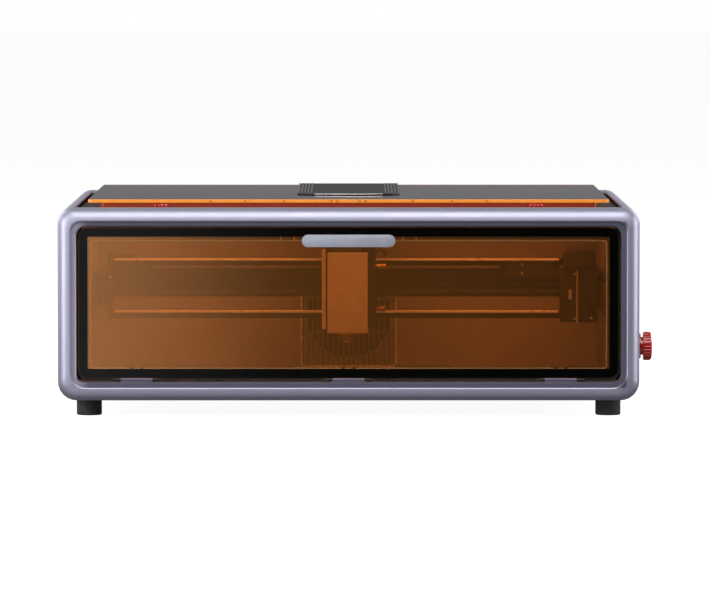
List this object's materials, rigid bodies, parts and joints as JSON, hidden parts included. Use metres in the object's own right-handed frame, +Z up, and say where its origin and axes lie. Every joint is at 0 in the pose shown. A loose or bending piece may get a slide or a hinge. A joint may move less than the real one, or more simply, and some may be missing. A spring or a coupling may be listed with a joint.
{
  "type": "desktop laser cutter",
  "caption": "Enclosed desktop laser cutter: low wide case with a rounded rim, tinted drop-down front door, lift-up lid, sliding gantry with laser head, exhaust and stop button.",
  "frame": {"origin": "on the table, under the middle of the overall box", "axes": "+X to the right along the width, -Y out of the front door, +Z up"},
  "size_m": [0.582, 0.492, 0.2128],
  "materials": {
    "case": "satin lilac-silver coat",
    "liner": "grey powder coat",
    "black_coat": "black powder coat",
    "tray": "bare rolled sheet",
    "acrylic": "cast tinted acrylic, polished",
    "handle": "bead-blasted and anodised",
    "black_plastic": "fine moulded texture",
    "rubber": "matt moulded rubber",
    "motor": "black painted",
    "dark_aluminium": "black anodised extrusion",
    "cover": "satin aluminium sheet",
    "steel": "plain turned steel",
    "brass": "turned",
    "belt": "toothed belt",
    "red": "polished moulding"
  },
  "bodies": {
    "case": {"front_bezel": "case", "left_side_shell": "case", "right_side_shell": "case", "rear_frame": "case", "base_pan": "case", "top_rear_cover": "case", "left_liner": "liner", "right_liner": "liner", "inner_rear_wall": "liner", "exhaust_grille": "liner", "rear_duct_panel": "black_coat", "rear_service_panel": "black_coat", "lid_seat_frame": "black_coat", "bed_tray": "tray", "exhaust_fan_frame": "black_plastic", "exhaust_collar": "black_plastic", "control_box": "black_plastic", "power_inlet": "black_plastic", "foot_front_left": "rubber", "foot_front_right": "rubber", "foot_rear_left": "rubber", "foot_rear_right": "rubber", "left_y_rail": "dark_aluminium", "right_y_rail": "dark_aluminium", "door_hinge_pin": "steel", "lid_hinge_base_left": "steel", "lid_hinge_base_right": "steel", "left_y_belt": "belt", "right_y_belt": "belt", "estop_collar": "red"},
    "door": {"door_panel": "acrylic", "door_frame": "case", "door_handle": "handle"},
    "lid": {"lid_sheet": "acrylic", "lid_skirt": "acrylic", "camera_housing": "black_plastic", "lid_hinge_leaf_left": "steel", "lid_hinge_leaf_right": "steel"},
    "gantry": {"gantry_beam": "dark_aluminium", "gantry_lower_bar": "dark_aluminium", "gantry_left_bracket": "motor", "gantry_right_bracket": "motor", "x_motor": "motor", "x_belt_cover": "black_plastic", "x_belt": "belt", "y_motor": "motor"},
    "carriage": {"carriage_plate": "dark_aluminium"},
    "laser_head": {"laser_heatsink": "dark_aluminium", "laser_front_cover": "cover", "laser_nozzle": "brass", "head_fan_frame": "black_plastic"},
    "head_fan": {"head_fan_rotor": "black_plastic"},
    "focus_knob": {"focus_knob": "brass"},
    "x_drive_pulley": {"x_drive_pulley": "steel"},
    "x_idler_pulley": {"x_idler_pulley": "steel"},
    "y_cross_shaft": {"y_cross_shaft": "steel"},
    "exhaust_fan": {"exhaust_fan_rotor": "black_plastic"},
    "stop_plunger": {"estop_plunger": "black_plastic"},
    "stop_cap": {"estop_cap": "red"},
    "power_rocker": {"power_rocker": "red"}
  },
  "joints": [
    {"name": "door_hinge", "type": "hinge", "parent": "case", "child": "door", "pos_m": [-0.007, -0.2374, 0.0363], "axis": [1, 0, 0], "range_deg": [0, 90]},
    {"name": "lid_hinge", "type": "hinge", "parent": "case", "child": "lid", "pos_m": [-0.007, 0.173, 0.2078], "axis": [-1, 0, 0], "range_deg": [0, 80]},
    {"name": "gantry_slide", "type": "slide", "parent": "case", "child": "gantry", "axis": [0, 1, 0], "range_m": [-0.13, 0.145]},
    {"name": "carriage_slide", "type": "slide", "parent": "gantry", "child": "carriage", "axis": [1, 0, 0], "range_m": [-0.2, 0.172]},
    {"name": "focus_slide", "type": "slide", "parent": "carriage", "child": "laser_head", "axis": [0, 0, 1], "range_m": [-0.035, 0.025]},
    {"name": "head_fan_spin", "type": "hinge", "parent": "laser_head", "child": "head_fan", "pos_m": [-0.008, -0.062, 0.154], "axis": [0, 0, 1], "continuous": true},
    {"name": "focus_knob_turn", "type": "hinge", "parent": "carriage", "child": "focus_knob", "pos_m": [0.027, -0.062, 0.096], "axis": [1, 0, 0], "range_deg": [0, 360]},
    {"name": "x_drive_spin", "type": "hinge", "parent": "gantry", "child": "x_drive_pulley", "pos_m": [0.221, -0.0025, 0.1395], "axis": [0, 0, 1], "continuous": true},
    {"name": "x_idler_spin", "type": "hinge", "parent": "gantry", "child": "x_idler_pulley", "pos_m": [-0.233, -0.0025, 0.1395], "axis": [0, 0, 1], "continuous": true},
    {"name": "y_shaft_spin", "type": "hinge", "parent": "gantry", "child": "y_cross_shaft", "pos_m": [-0.007, 0.022, 0.1273], "axis": [1, 0, 0], "continuous": true},
    {"name": "exhaust_fan_spin", "type": "hinge", "parent": "case", "child": "exhaust_fan", "pos_m": [-0.007, 0.2065, 0.074], "axis": [0, 1, 0], "continuous": true},
    {"name": "stop_push", "type": "slide", "parent": "case", "child": "stop_plunger", "axis": [-1, 0, 0], "range_m": [0, 0.002], "stiffness_N_per_m": 600},
    {"name": "stop_twist", "type": "hinge", "parent": "stop_plunger", "child": "stop_cap", "pos_m": [0.283, -0.186, 0.066], "axis": [1, 0, 0], "range_deg": [0, 45], "stiffness_Nm_per_rad": 0.05},
    {"name": "rocker_tilt", "type": "hinge", "parent": "case", "child": "power_rocker", "pos_m": [0.238, 0.2175, 0.047], "axis": [1, 0, 0], "range_deg": [0, 12]}
  ],
  "couplings": [
    {"joint": "x_drive_spin", "follows": "carriage_slide", "rad_per_m": 153.85},
    {"joint": "x_idler_spin", "follows": "carriage_slide", "rad_per_m": 153.85},
    {"joint": "y_shaft_spin", "follows": "gantry_slide", "rad_per_m": -181.82}
  ]
}
